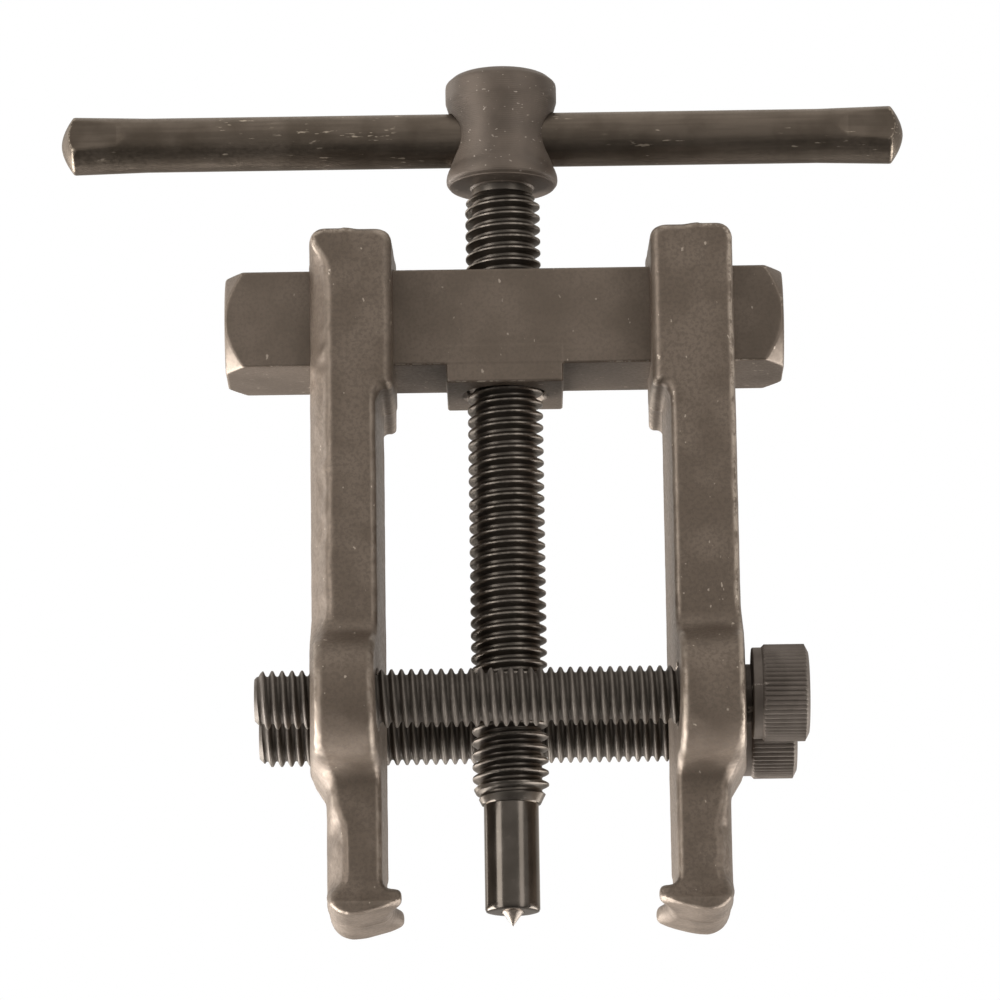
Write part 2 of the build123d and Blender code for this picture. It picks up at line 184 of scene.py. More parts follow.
def bumps(points, size, seed):
    """Smooth random relief from 0 to 1, with features of about the given size."""
    lattice_size = 48
    lattice = np.random.default_rng(seed).random((lattice_size,) * 3)
    cell = points / size + 10 * lattice_size
    corner = np.floor(cell).astype(int)
    part = cell - corner
    part = part * part * (3 - 2 * part)
    total = np.zeros(len(points))
    for shift in itertools.product((0, 1), repeat=3):
        weight = np.prod(np.where(shift, part, 1 - part), axis=1)
        total += weight * lattice[tuple(((corner + shift) % lattice_size).T)]
    return total


def slopes(field, points):
    """The field's gradient at each point."""
    reach = 0.04
    steps = reach * np.eye(3)
    return np.stack([field(points + s) - field(points - s) for s in steps], axis=1) / (2 * reach)


def net_cells(values):
    """Cells of a grid of field values that the surface passes through, and their middle crossings."""
    inside = values < 0
    corners = list(itertools.product((0, 1), repeat=3))
    count = sum(
        inside[tuple(slice(c, n - 1 + c) for c, n in zip(corner, values.shape))].astype(np.int8)
        for corner in corners
    )
    cells = np.argwhere((count > 0) & (count < 8))
    total, crossings = np.zeros((len(cells), 3)), np.zeros(len(cells))
    for a, b in itertools.combinations(corners, 2):
        if sum(p != q for p, q in zip(a, b)) != 1:
            continue
        at_a = values[tuple((cells + a).T)]
        at_b = values[tuple((cells + b).T)]
        crossed = (at_a < 0) != (at_b < 0)
        share = np.where(crossed, at_a / np.where(crossed, at_a - at_b, 1), 0)
        total += crossed[:, None] * (np.array(a) + share[:, None] * (np.array(b) - np.array(a)))
        crossings += crossed
    return cells, cells + total / crossings[:, None]


def net_faces(values, cells):
    """Quads round every grid edge that the surface crosses."""
    number = np.full(values.shape, -1)
    number[tuple(cells.T)] = np.arange(len(cells))
    inside = values < 0
    faces = []
    for axis in range(3):
        after, last = (axis + 1) % 3, (axis + 2) % 3
        start = np.take(inside, range(values.shape[axis] - 1), axis)
        end = np.take(inside, range(1, values.shape[axis]), axis)
        edges = np.argwhere(start != end)
        rising = start[tuple(edges.T)]
        ring = []
        for back_after, back_last in ((1, 1), (0, 1), (0, 0), (1, 0)):
            cell = edges.copy()
            cell[:, after] -= back_after
            cell[:, last] -= back_last
            ring.append(number[tuple(cell.T)])
        ring = np.stack(ring, axis=1)
        faces.append(np.where(rising[:, None], ring, ring[:, ::-1]))
    return np.concatenate(faces)


def solid_from_field(name, field, low, high, step, place=lambda points: points):
    """A closed mesh of the surface where field(points) is zero, with its exact normals.

    The point attribute "edge" says how sharply the surface bends: above 0 on outside edges, below 0
    in inside corners. place moves finished points to where the piece sits.
    """
    sizes = [int((h - l) / step) + 5 for l, h in zip(low, high)]
    axes = [l + step * (np.arange(n) - 2) for l, n in zip(low, sizes)]
    values = np.stack([
        field(np.stack(np.meshgrid([x], axes[1], axes[2], indexing="ij"), -1).reshape(-1, 3))
        .reshape(sizes[1:])
        for x in axes[0]
    ])
    cells, crossings = net_cells(values)
    faces = net_faces(values, cells)
    points = np.array([axis[0] for axis in axes]) + step * crossings
    for _ in range(3):                       # pull the net's points onto the surface
        slope = slopes(field, points)
        move = field(points)[:, None] * slope / np.maximum((slope ** 2).sum(1), 0.05)[:, None]
        points -= np.clip(move, -step / 2, step / 2)
    slope = slopes(field, points)
    normals = slope / np.linalg.norm(slope, axis=1)[:, None]
    side = np.cross(normals, np.where(np.abs(normals[:, :1]) < 0.7, (1.0, 0, 0), (0, 1.0, 0)))
    side /= np.linalg.norm(side, axis=1)[:, None]
    reach = 0.45
    around = (side, -side, np.cross(normals, side), -np.cross(normals, side))
    bend = sum(field(points + reach * direction) for direction in around) / (4 * reach)
    placed = place(points)
    piece = new_object(name, placed, faces.tolist())
    normals = place(points + normals) - placed
    piece.data.normals_split_custom_set_from_vertices(normals.tolist())
    edge = piece.data.attributes.new("edge", "FLOAT", "POINT")
    edge.data.foreach_set("value", bend.astype(np.float32))
    return piece


# ---------------------------------------------------------------- turned and threaded shapes

def combined(*shapes):
    """Several lists of points and faces as one."""
    points, faces = [], []
    for shape_points, shape_faces in shapes:
        offset = len(points)
        points += list(shape_points)
        faces += [tuple(index + offset for index in face) for face in shape_faces]
    return points, faces


def turned(profile, columns):
    """A profile of (radius, height) turned about +Z. The radius may be a function of the angle."""
    points, faces = [], []
    rows = len(profile)
    for column in range(columns):
        angle = 2 * math.pi * column / columns
        for radius, height in profile:
            reach = radius(angle) if callable(radius) else radius
            points.append((reach * math.cos(angle), reach * math.sin(angle), height))
        following = (column + 1) % columns
        for row in range(rows - 1):
            a, b = column * rows + row, following * rows + row
            faces.append((a, b, b + 1, a + 1))
    return points, faces


def threaded(root, crest, pitch, phase, start, end, envelope, columns):
    """A right-hand thread around +Z from start to end, trimmed by an envelope radius over height.

    Rows of points follow the helix. phase is the height of a crest on the +X side. At both ends
    the envelope lies inside the root, and the rows close up into plain rings.
    """
    half_profile = np.array((0, 0.06, 0.1, 0.2, 0.3, 0.39, 0.45))
    profile = np.concatenate([half_profile, 1 - half_profile[:0:-1]])
    flank_start, flank_end = 0.075, 0.41
    turns = int((end - start) / pitch) + 5
    first = phase + pitch * (math.floor((start - phase) / pitch) - 2)
    steps = (np.arange(turns)[:, None] + profile[None, :]).ravel()
    away = np.abs((steps + 0.5) % 1.0 - 0.5)
    drop = np.clip((away - flank_start) / (flank_end - flank_start), 0, 1)
    thread = crest - (crest - root) * (drop - 0.07 * np.sin(2 * math.pi * drop))
    rows, per_turn = len(steps), len(profile)
    points, faces = [], []
    for column in range(columns):
        angle = 2 * math.pi * column / columns
        heights = np.clip(first + pitch * (steps + column / columns), start, end)
        radii = np.minimum(thread, envelope(heights))
        points += list(zip(radii * math.cos(angle), radii * math.sin(angle), heights))
        last = column == columns - 1
        shift = per_turn if last else 0
        following = 0 if last else column + 1
        for row in range(rows - 1 - shift):
            a, b = column * rows + row, following * rows + row + shift
            if heights[row + 1] > start and heights[row] < end:
                faces.append((a, b, b + 1, a + 1))
    return points, faces


# ---------------------------------------------------------------- the arms

def rounded_outline(corners, radii):
    """A closed outline of straight runs with an arc at each corner, as an array of points."""
    corners = np.array(corners, float)
    points = []
    for index, radius in enumerate(radii):
        corner = corners[index]
        back = corners[index - 1] - corner
        on = corners[(index + 1) % len(corners)] - corner
        back, on = back / np.hypot(*back), on / np.hypot(*on)
        half = math.acos(np.dot(back, on)) / 2
        middle = back + on
        centre = corner + middle / np.hypot(*middle) * radius / math.sin(half)
        start = corner + back * radius / math.tan(half) - centre
        turn = -math.copysign(math.pi - 2 * half, back[0] * on[1] - back[1] * on[0])
        steps = max(3, int(abs(turn) / 0.12))
        for angle in np.linspace(0, turn, steps + 1):
            c, s = math.cos(angle), math.sin(angle)
            points.append(centre + (c * start[0] - s * start[1], s * start[0] + c * start[1]))
    return np.array(points)


def outline_distance(outline, x, y):
    """Signed distance of points to a closed outline, below 0 inside."""
    nearest = np.full(x.shape, np.inf)
    inside = np.zeros(x.shape, bool)
    for p, q in zip(outline, np.roll(outline, -1, axis=0)):
        run = q - p
        along = np.clip(((x - p[0]) * run[0] + (y - p[1]) * run[1]) / max(run @ run, 1e-12), 0, 1)
        gap = (x - p[0] - along * run[0]) ** 2 + (y - p[1] - along * run[1]) ** 2
        nearest = np.minimum(nearest, gap)
        if p[1] != q[1]:
            spans = (p[1] > y) != (q[1] > y)
            inside ^= spans & (x < p[0] + (y - p[1]) * run[0] / run[1])
    return np.where(inside, -1, 1) * np.sqrt(nearest)


def looked_up(outline, low, high, step=0.05):
    """outline_distance worked out once on a fine grid, and read from it afterwards."""
    x, y = (np.arange(l, h, step) for l, h in zip(low, high))
    table = outline_distance(outline, *np.meshgrid(x, y, indexing="ij"))

    def distance(u, v):
        u = np.clip((u - low[0]) / step, 0, len(x) - 1.001)
        v = np.clip((v - low[1]) / step, 0, len(y) - 1.001)
        i, j = u.astype(int), v.astype(int)
        u, v = u - i, v - j
        lower = table[i, j] * (1 - u) + table[i + 1, j] * u
        upper = table[i, j + 1] * (1 - u) + table[i + 1, j + 1] * u
        return lower * (1 - v) + upper * v

    return distance


def arm_outline():
    """Distance to the forging's outline seen from the front: outwards along the bar, then up."""
    corners = [
        (13.0, LIP_BOTTOM), (13.0, ARM_TOP), (22.0, ARM_TOP), (22.0, 29.5), (22.25, 26.5),
        (22.25, 14.3), (20.6, 11.6), (20.6, FOOT_BOTTOM), (17.0, FOOT_BOTTOM), (CLAW_TIP, -0.2),
        (CLAW_TIP, 1.55), (14.4, 1.75), (14.4, LIP_BOTTOM),
    ]
    radii = [0.8, 2.0, 2.0, 5, 5, 2, 2.5, 2.5, 6, 0.75, 0.9, 0.5, 0.35]
    return looked_up(rounded_outline(corners, radii), (10.5, -4.0), (24.5, 73.0))


def arm_side(across, z):
    """Distance to the forging's profile seen from the side: head and shank, eyes, leg and foot."""
    top_edge, eye_fillet, leg_fillet = 1.2, 2.0, 3.0
    shank = edged(across - SHANK_HALF_DEPTH, z - ARM_TOP, top_edge)
    shank = np.maximum(shank, SHANK_BOTTOM - z)
    eyes = np.hypot(across - CLAMP_OFFSET, z - CLAMP_HEIGHT) - EYE_RADIUS
    reach, drop = FOOT_HALF_DEPTH - LEG_HALF_DEPTH, FLARE_TOP - FLARE_BOTTOM
    flare_radius = (reach ** 2 + drop ** 2) / (2 * reach)
    below = np.clip(FLARE_TOP - z, 0, drop)
    flare = flare_radius - np.sqrt(flare_radius ** 2 - below ** 2)
    leg = np.maximum(across - LEG_HALF_DEPTH - flare, z - LEG_TOP)
    return filleted(filleted(eyes, shank, eye_fillet), leg, leg_fillet)


def arm_field(outline, hole_radius, seed):
    """The finished forging: outline, worn facet, claw, crossbar window, screw holes and skin."""
    def field(points):
        u, y, z = points.T
        across = np.abs(y)
        outer = blend(OUTER_FROM, OUTER_TO, u)
        head = blend(*LIP_ZONE, z) * (1 - outer)
        draft = DRAFT * (1 - OUTER_LESS_DRAFT * outer - HEAD_LESS_DRAFT * head)
        draft *= 1 - FOOT_LESS_DRAFT * blend(*FOOT_ZONE, z)
        faces = outline(u, z) + across * draft - LINE_HEIGHT * np.exp(-((y / LINE_WIDTH) ** 2))
        side = arm_side(across, z)
        edge = (INNER_EDGE + HEAD_EXTRA_EDGE * head) * (1 - outer) + OUTER_EDGE * outer
        edge += (SOLE_EDGE - edge) * blend(*SOLE_ZONE, z)
        solid = edged(faces, side, edge)

        width = np.where(y > 0, TALL_FACET, SHORT_FACET * blend(*SHORT_FACET_ZONE, z))
        width = width + FACET_UNEVEN * bumps(points, 1.2, seed + 3)
        at_eye = blend(*EYE_ZONE_TOP, z) * blend(*EYE_ZONE_BOTTOM, z)
        width = width * blend(*FACET_ZONE_TOP, z) * blend(*FACET_ZONE_BOTTOM, z)
        width = width * (1 - FACET_LESS_AT_EYES * at_eye)
        width = width - 10 * (1 - outer)     # no facet on the inner half
        facet = FACET_ACROSS * faces + FACET_DEEP * side + FACET_ACROSS * width
        solid = edged(solid, facet, FACET_EDGE)

        above_claw = np.maximum(z - CLAW_HEIGHT, 0)
        notch = CLAW_NOTCH_RADIUS - np.hypot(u, y) - above_claw
        solid = edged(solid, notch, CLAW_EDGE)
        corner = edged(CLAW_TIP - u, across - FOOT_HALF_DEPTH, CLAW_CORNER) - above_claw
        solid = edged(solid, corner, CLAW_EDGE)
        window_height = np.abs(z - BAR_MIDDLE) - BAR_HEIGHT / 2 - WINDOW_GAP
        window = edged(across - BAR_HALF_DEPTH - WINDOW_GAP, window_height, HOLE_EDGE)
        solid = edged(solid, -window, HOLE_EDGE)
        hole = hole_radius - np.hypot(across - CLAMP_OFFSET, z - CLAMP_HEIGHT)
        solid = edged(solid, hole, HOLE_EDGE)
        skin = 0.045 * bumps(points, 1.9, seed) + 0.02 * bumps(points, 0.8, seed + 1)
        return solid + skin * (1 - 0.7 * blend(*CALM_ZONE, z))
    return field


def make_arms():
    """Both arms: one forging, the left one turned half a turn about the middle of the pair."""
    outline = arm_outline()
    low, high, step = (12.3, -16.8, -1.55), (22.5, 16.8, 70.2), 0.26
    centre = np.array((PAIR_CENTRE, 0, 0))
    arms = []
    for name, hole_radius, side, seed in (
        ("right_arm", CLEARANCE_RADIUS, 1, 11), ("left_arm", TAPPED_RADIUS, -1, 23),
    ):
        turn = np.array((side, side, 1.0))
        arms.append(solid_from_field(
            name + "_forging", arm_field(outline, hole_radius, seed), low, high, step,
            place=lambda points, turn=turn: points * turn + centre,
        ))
    return arms


# ---------------------------------------------------------------- the crossbar

def crossbar_field(points):
    """Square bar with turned end cones, a boss below the middle and a countersunk bore."""
    x, y, z = points.T
    along, across, up = np.abs(x), np.abs(y), z - BAR_MIDDLE
    sink = 0.5
    section = edged(across - BAR_HALF_DEPTH, np.abs(up) - BAR_HEIGHT / 2, 0.28)
    cone = (np.hypot(y, up) - BAR_END_RADIUS + along - BAR_HALF_LENGTH) / math.sqrt(2)
    ends = edged(along - BAR_HALF_LENGTH, cone, 0.2)
    bar = edged(section, ends, 0.16)
    boss_bottom = BAR_BOTTOM - BOSS_HEIGHT
    boss = edged(along - BOSS_HALF_WIDTH, across - BAR_HALF_DEPTH, 0.18)
    boss = edged(boss, np.abs(z - boss_bottom - BOSS_REACH) - BOSS_REACH, 0.18)
    solid = filleted(bar, boss, 0.12)
    radius = np.hypot(x, y)
    from_face = np.minimum(z - boss_bottom, BAR_BOTTOM + BAR_HEIGHT - z)
    countersink = (BORE_RADIUS + sink - from_face - radius) / math.sqrt(2)
    bore = np.maximum(BORE_RADIUS - radius, countersink)
    return edged(solid, bore, 0.06) + 0.012 * bumps(points, 2.6, 5)


def make_crossbar():
    low = (-BAR_HALF_LENGTH, -BAR_HALF_DEPTH, BAR_BOTTOM - BOSS_HEIGHT)
    high = (BAR_HALF_LENGTH, BAR_HALF_DEPTH, BAR_BOTTOM + BAR_HEIGHT)
    return solid_from_field("crossbar_milled", crossbar_field, low, high, 0.21)


# ---------------------------------------------------------------- the tommy bar

def tommy_field(points):
    """Round bar with swaged, domed ends and a tapering flat pressed on each."""
    x, y, z = points.T
    up = z - TOMMY_HEIGHT
    radius = np.hypot(y, up)
    from_end = np.minimum(x - TOMMY_LEFT, TOMMY_RIGHT - x)
    swage = np.clip((TOMMY_TAPER - from_end) / (TOMMY_TAPER - TOMMY_DOME), 0, 1)
    barrel = radius - TOMMY_RADIUS - (TOMMY_END_RADIUS - TOMMY_RADIUS) * swage
    share = np.minimum(radius / TOMMY_END_RADIUS, 1.2)
    dome = (TOMMY_DOME * share ** 1.8 - from_end) * 0.85
    solid = edged(barrel, dome, 0.12)
    tilt = math.radians(FLAT_TILT)
    facing = -y * math.cos(tilt) + up * math.sin(tilt)
    flat = facing - FLAT_DEPTH - FLAT_SLOPE * from_end
    ramp = facing - RAMP_DEPTH - RAMP_SLOPE * (from_end - RAMP_START)
    return edged(solid, np.minimum(flat, ramp), 0.07)


def make_tommy_bar():
    reach = TOMMY_END_RADIUS
    low = (TOMMY_LEFT, -reach, TOMMY_HEIGHT - reach)
    high = (TOMMY_RIGHT, reach, TOMMY_HEIGHT + reach)
    return solid_from_field("tommy_bar_round", tommy_field, low, high, 0.2)


# ---------------------------------------------------------------- the screws' threads

def mark_crests(piece, along, across, centre, start, end, crest):
    """Point attribute "edge": 1 on a thread's crests, falling to 0 a little way down its flanks.

    along is the screw's axis, across the other two, and centre its place on those in millimetres.
    """
    points = np.zeros(3 * len(piece.data.vertices))
    piece.data.vertices.foreach_get("co", points)
    points = points.reshape(-1, 3) / MM
    radius = np.hypot(points[:, across[0]] - centre[0], points[:, across[1]] - centre[1])
    inside = (points[:, along] > start) & (points[:, along] < end)
    depth = 0.25
    share = np.clip(1 - (crest - radius) / depth, 0, 1) * inside
    edge = piece.data.attributes.new("edge", "FLOAT", "POINT")
    edge.data.foreach_set("value", share.astype(np.float32))
    return piece


# ---------------------------------------------------------------- the forcing screw

def arc_through(first, middle, last, steps):
    """Points of (radius, height) on the circle through three points, ends left out."""
    (ax, ay), (bx, by), (cx, cy) = first, middle, last
    d = 2 * (ax * (by - cy) + bx * (cy - ay) + cx * (ay - by))
    a2, b2, c2 = ax * ax + ay * ay, bx * bx + by * by, cx * cx + cy * cy
    ux = (a2 * (by - cy) + b2 * (cy - ay) + c2 * (ay - by)) / d
    uy = (a2 * (cx - bx) + b2 * (ax - cx) + c2 * (bx - ax)) / d
    radius = math.hypot(ax - ux, ay - uy)
    heights = np.linspace(ay, cy, steps + 2)[1:-1]
    side = math.copysign(1, bx - ux)
    return [(ux + side * math.sqrt(radius ** 2 - (h - uy) ** 2), h) for h in heights]


def hub_profile():
    """The waisted hub, from the neck below it to the middle of its top face."""
    neck = [
        (NECK_RADIUS, THREAD_END), (NECK_RADIUS, HUB_BOTTOM - 0.2), (NECK_RADIUS + 0.2, HUB_BOTTOM),
    ]
    under = [(3.9, HUB_BOTTOM), (4.3, HUB_BOTTOM), (4.8, HUB_BOTTOM), (5.2, HUB_BOTTOM + 0.02)]
    rim = [
        (5.48, 76.52), (5.5, 76.64), (5.68, 76.76), (5.77, 76.92), (HUB_RADIUS, 77.15),
        (5.79, 77.4), (5.75, 77.65), (5.68, 77.9), (5.59, 78.15), (5.48, 78.36),
    ]
    waist_start, waist_end = (5.36, 78.6), (HUB_RADIUS - 0.01, 85.65)
    waist = arc_through(waist_start, (HUB_WAIST, HUB_WAIST_HEIGHT), waist_end, 34)
    crown = [(HUB_RADIUS, 86.0), (HUB_RADIUS, 86.5), (HUB_RADIUS, 87.2), (5.76, 87.5), (5.64, 87.68)]
    top = [
        (5.1, 88.16), (4.9, 88.26), (4.6, HUB_TOP), (3.4, HUB_TOP), (2.2, HUB_TOP - 0.01),
        (1.0, HUB_TOP - 0.03),
    ]
    return [*neck, *under, *rim, waist_start, *waist, waist_end, *crown, *top, (0, HUB_TOP - 0.04)]


def make_spindle():
    """Pilot, thread and waisted hub in one piece, with the hole for the tommy bar."""
    columns = 80
    hole = POINT_RADIUS + 0.02
    pilot = [
        (0, POINT_SHANK + 0.1), (hole, POINT_SHANK + 0.1), (hole, 0.1), (hole + 0.1, 0), (1.9, 0),
        (PILOT_RADIUS - 0.3, 0), (PILOT_RADIUS - 0.1, 0.06), (PILOT_RADIUS, 0.28),
        *[(PILOT_RADIUS, h) for h in np.linspace(0.8, PILOT_LENGTH - 0.6, 20)],
        (PILOT_RADIUS, PILOT_LENGTH),
    ]

    def envelope(height):
        """A small step up from the pilot and a gentle run-out above it; a cone at the neck."""
        above = height - PILOT_LENGTH
        run_out = PILOT_RADIUS + np.minimum(4 * above, 0.18 + 0.5 * above)
        return np.minimum(run_out, NECK_RADIUS + THREAD_END - height)

    thread = threaded(
        SCREW_ROOT, SCREW_CREST, SCREW_PITCH, SCREW_PHASE, PILOT_LENGTH, THREAD_END, envelope,
        columns,
    )
    piece = new_object(
        "spindle_threaded", *combined(turned(pilot, columns), thread, turned(hub_profile(), columns))
    )
    weld(piece)
    bore, half_length = TOMMY_RADIUS + 0.07, HUB_RADIUS + 1
    profile = [(0, -half_length), (bore, -half_length), (bore, half_length), (0, half_length)]
    points, faces = turned(profile, 72)
    points = [(z, x, y + TOMMY_HEIGHT) for x, y, z in points]
    drill = weld(new_object("drill", points, faces))
    piece = weld(cut(piece, drill))
    return mark_crests(piece, 2, (0, 1), (0, 0), PILOT_LENGTH + 0.5, THREAD_END, SCREW_CREST)


def make_centre_point():
    """The cone below the pilot, and its shank inside it."""
    profile = [(0, -POINT_HEIGHT), (0.04, -POINT_HEIGHT + 0.02)]
    profile += [
        (POINT_RADIUS * s, -POINT_HEIGHT * (1 - s)) for s in np.linspace(0.12, 0.97, 9)
    ]
    profile += [(POINT_RADIUS, 0.05), (POINT_RADIUS, 1.5), (POINT_RADIUS, POINT_SHANK - 0.2)]
    profile += [(POINT_RADIUS - 0.2, POINT_SHANK), (0, POINT_SHANK)]
    return weld(new_object("centre_point_hardened", *turned(profile, 48)))


# ---------------------------------------------------------------- the clamp screws

def knurled(limit):
    """Radius round the knurled head, four columns to a tooth, no further out than the limit."""
    def radius(angle):
        column = round(angle / (2 * math.pi) * KNURL_COLUMNS) % 4
        return min(HEAD_RADIUS - (0, 0.05, 0.17, 0.05)[column], limit)
    return radius


def hexagon(angle):
    """Radius of the socket's hexagon, 5 mm across flats, with corners at 0 and every 60 degrees."""
    return SOCKET_HALF_FLATS / math.cos((angle % (math.pi / 3)) - math.pi / 6)


def clamp_screw_shape():
    """Points and faces of a socket-head screw standing on its tip at the origin."""
    columns, face, top = 60, CLAMP_LENGTH, CLAMP_LENGTH + HEAD_HEIGHT
    tip_radius, groove, neck = CLAMP_ROOT - 0.25, CLAMP_ROOT - 0.05, 2.93
    thread_end = face - THREAD_GAP
    tip = turned([(0, 0), (tip_radius * 0.6, 0), (tip_radius, 0)], columns)
    thread = threaded(
        CLAMP_ROOT, CLAMP_CREST, CLAMP_PITCH, CLAMP_PHASE, 0, thread_end,
        lambda h: np.minimum(tip_radius + h, groove + thread_end - h), columns,
    )
    shoulder = turned(
        [(groove, thread_end), (groove, face - 1.5), (neck, face - 0.9), (neck, face - 0.15),
         (neck + 0.15, face)], columns,
    )
    bearing_radius = COLLAR_RADIUS - 0.1
    inner, outer = [], []
    for column in range(columns):
        angle = 2 * math.pi * column / columns
        inner.append(((neck + 0.15) * math.cos(angle), (neck + 0.15) * math.sin(angle), face))
    for column in range(KNURL_COLUMNS):
        angle = 2 * math.pi * column / KNURL_COLUMNS
        outer.append((bearing_radius * math.cos(angle), bearing_radius * math.sin(angle), face))
    each = KNURL_COLUMNS // columns
    ring = []
    for column in range(columns):
        rim = [columns + (each * column + k) % KNURL_COLUMNS for k in range(each + 1)]
        ring.append((column, *rim, (column + 1) % columns))
    ramp_end = COLLAR_HEIGHT + HEAD_RADIUS - COLLAR_RADIUS
    head = [
        (bearing_radius, face), (COLLAR_RADIUS, face + 0.1), (COLLAR_RADIUS, face + 0.5),
        (COLLAR_RADIUS, face + COLLAR_HEIGHT),
        (knurled(COLLAR_RADIUS + 0.15), face + COLLAR_HEIGHT + 0.15),
        (knurled(HEAD_RADIUS), face + ramp_end),
        *[(knurled(HEAD_RADIUS), h) for h in np.linspace(face + ramp_end + 0.4, top - 0.8, 7)],
        (knurled(HEAD_RADIUS), top - 0.42), (knurled(HEAD_RADIUS - 0.17), top - 0.34),
        (HEAD_RADIUS - 0.5, top - 0.17), (HEAD_RADIUS - 0.8, top - 0.02), (HEAD_RADIUS - 1.0, top),
        (3.4, top), (3.08, top), (hexagon, top - 0.22), (hexagon, top - 1.2), (hexagon, top - 3.15),
        (lambda angle: hexagon(angle) - 0.05, top - 3.2), (2.3, top - 3.2), (0, top - 4.0),
    ]
    return combined(tip, thread, shoulder, (inner + outer, ring), turned(head, KNURL_COLUMNS))


def make_clamp_screws():
    """The front and the rear clamp screw, lying along +X with their heads on the right."""
    points, faces = clamp_screw_shape()
    points = np.array(points)
    screws = []
    for node, y in (("front_bolt", -CLAMP_OFFSET), ("rear_bolt", CLAMP_OFFSET)):
        tip_x = cad_extent(node, 0)[0]
        placed = np.roll(points, 1, axis=1) + (tip_x, y, CLAMP_HEIGHT)
        screw = weld(new_object(node + "_knurled", placed, faces))
        thread_end = tip_x + CLAMP_LENGTH - THREAD_GAP
        screws.append(
            mark_crests(screw, 0, (1, 2), (y, CLAMP_HEIGHT), tip_x, thread_end, CLAMP_CREST)
        )
    return screws


# ---------------------------------------------------------------- materials

class Steel:
    """A metal's node tree, with short ways to add nodes to it. Scales are in features per metre."""

    def __init__(self, name, metallic=0.5):
        self.material = bpy.data.materials.new(name)
        self.material.use_nodes = True
        self.tree = self.material.node_tree
        self.shader = self.tree.nodes["Principled BSDF"]
        self.shader.inputs["Metallic"].default_value = metallic
        self.place = self.tree.nodes.new("ShaderNodeTexCoord").outputs["Object"]
        self.normal = None

    def node(self, kind, inputs=(), **settings):
        """A new node with the given properties, and values or links on its inputs."""
        made = self.tree.nodes.new(kind)
        for key, value in settings.items():
            setattr(made, key, value)
        for key, value in dict(inputs).items():
            self.feed(made.inputs[key], value)
        return made

    def feed(self, socket, value):
        if isinstance(value, bpy.types.NodeSocket):
            self.tree.links.new(value, socket)
        else:
            socket.default_value = value

    def math(self, operation, a, b=0.0):
        return self.node("ShaderNodeMath", {0: a, 1: b}, operation=operation).outputs[0]

    def noise(self, scale, detail=2.0, stretch=(1, 1, 1), roughness=0.5, shift=0.0):
        """Noise from 0 to 1. stretch multiplies the coordinates, so 0.1 draws it out tenfold."""
        place = self.node(
            "ShaderNodeMapping", {"Vector": self.place, "Scale": stretch, "Location": (shift,) * 3}
        ).outputs[0]
        return self.node(
            "ShaderNodeTexNoise",
            {"Vector": place, "Scale": scale, "Detail": detail, "Roughness": roughness},
        ).outputs["Fac"]

    def span(self, value, low, high, start=0.0, end=1.0):
        """Maps low..high to start..end, held at both ends."""
        return self.node(
            "ShaderNodeMapRange",
            {"Value": value, "From Min": low, "From Max": high, "To Min": start, "To Max": end},
            interpolation_type="SMOOTHSTEP",
        ).outputs[0]

    def mix(self, share, a, b):
        made = self.node("ShaderNodeMix", data_type="RGBA")
        for index, value in ((0, share), (6, a), (7, b)):
            self.feed(made.inputs[index], (*value, 1) if isinstance(value, tuple) else value)
        return made.outputs[2]

    def raise_by(self, height, depth):
        """Adds relief of the given depth in metres, on top of what is there."""
        inputs = {"Height": height, "Distance": depth, "Strength": 1.0}
        if self.normal is not None:
            inputs["Normal"] = self.normal
        self.normal = self.node("ShaderNodeBump", inputs).outputs[0]

    def height(self, axis):
        """The point's place along one axis, in metres."""
        return self.node("ShaderNodeSeparateXYZ", {"Vector": self.place}).outputs[axis]

    def edges(self, low, high):
        """Share of wear on the outside edges of a solid made from a field, or on thread crests."""
        attribute = self.node("ShaderNodeAttribute", attribute_name="edge").outputs["Fac"]
        return self.span(attribute, low, high)

    def points(self, low, high):
        """Share of wear on the outside edges of any mesh."""
        pointiness = self.node("ShaderNodeNewGeometry").outputs["Pointiness"]
        return self.span(pointiness, low, high)

    def finish(self, colour, roughness, tint=(1.0, 0.93, 0.86)):
        self.feed(self.shader.inputs["Base Color"], colour)
        self.feed(self.shader.inputs["Roughness"], roughness)
        self.shader.inputs["Specular Tint"].default_value = (*tint, 1)
        if self.normal is not None:
            self.feed(self.shader.inputs["Normal"], self.normal)
        return self.material


def forged_steel():
    """Blackened forging: grainy scale, patchy tone, bare metal on rubbed edges."""
    steel = Steel("forged_black_steel", metallic=0.6)
    patches = steel.span(steel.noise(230, 3), 0.35, 0.65)
    grain = steel.noise(2400, 3, roughness=0.65)
    coarse = steel.noise(800, 3)
    base = steel.mix(patches, (0.096, 0.073, 0.055), (0.124, 0.096, 0.074))
    base = steel.mix(steel.span(grain, 0.42, 0.62, 0.0, 0.5), base, (0.066, 0.050, 0.038))
    above_foot = steel.span(steel.height(2), 0.0005, 0.003, 0.15, 1.0)
    edge = steel.math("MULTIPLY", steel.edges(0.07, 0.26), above_foot)
    rubbed = steel.math("MULTIPLY", edge, steel.span(steel.math("ADD", grain, coarse), 0.82, 1.10))
    bare = (0.44, 0.37, 0.30)
    colour = steel.mix(steel.math("MULTIPLY", rubbed, 0.5), base, bare)
    roughness = steel.span(grain, 0.3, 0.7, 0.38, 0.50)
    roughness = steel.math("ADD", roughness, steel.span(patches, 0, 1, 0, 0.05))
    specks = steel.span(steel.noise(1500, 2, stretch=(1, 1, 0.7), shift=4.4), 0.72, 0.75)
    colour = steel.mix(steel.math("MULTIPLY", specks, 0.5), colour, (0.45, 0.38, 0.31))
    steel.raise_by(coarse, 40 * MICRON)
    steel.raise_by(grain, 18 * MICRON)
    return steel.finish(colour, roughness)


